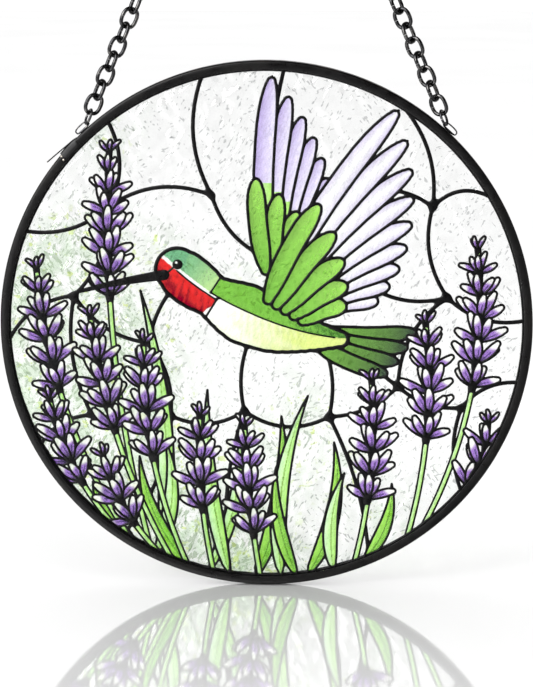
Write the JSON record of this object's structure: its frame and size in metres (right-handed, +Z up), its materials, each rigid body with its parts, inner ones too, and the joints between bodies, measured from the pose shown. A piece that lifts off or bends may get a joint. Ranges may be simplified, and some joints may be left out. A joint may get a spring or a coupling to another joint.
{
  "type": "stained glass suncatcher",
  "caption": "Round clear-glass suncatcher with a raised black line picture, in a black channelled rim, hung from a hook by one oval-link chain between two wire ears.",
  "frame": {"origin": "where the hook carries the chain's top link, on the underside of that link's upper wire", "axes": "+Z up, +X to the viewer's right, the picture faces -Y"},
  "size_m": [0.2, 0.0076, 0.3339],
  "materials": {
    "rim_metal": "satin black paint, a little worn at the edges",
    "clear_glass": "clear, smooth in front and rippled at the back",
    "black_lines": "satin black relief paint",
    "dark_steel": "glossy gunmetal black"
  },
  "bodies": {
    "root": {"rim": "rim_metal", "glass_panel": "clear_glass", "leading": "black_lines", "ear_left": "dark_steel", "ear_right": "dark_steel", "jump_ring_left": "dark_steel", "jump_ring_right": "dark_steel", "chain": "dark_steel"}
  },
  "joints": []
}
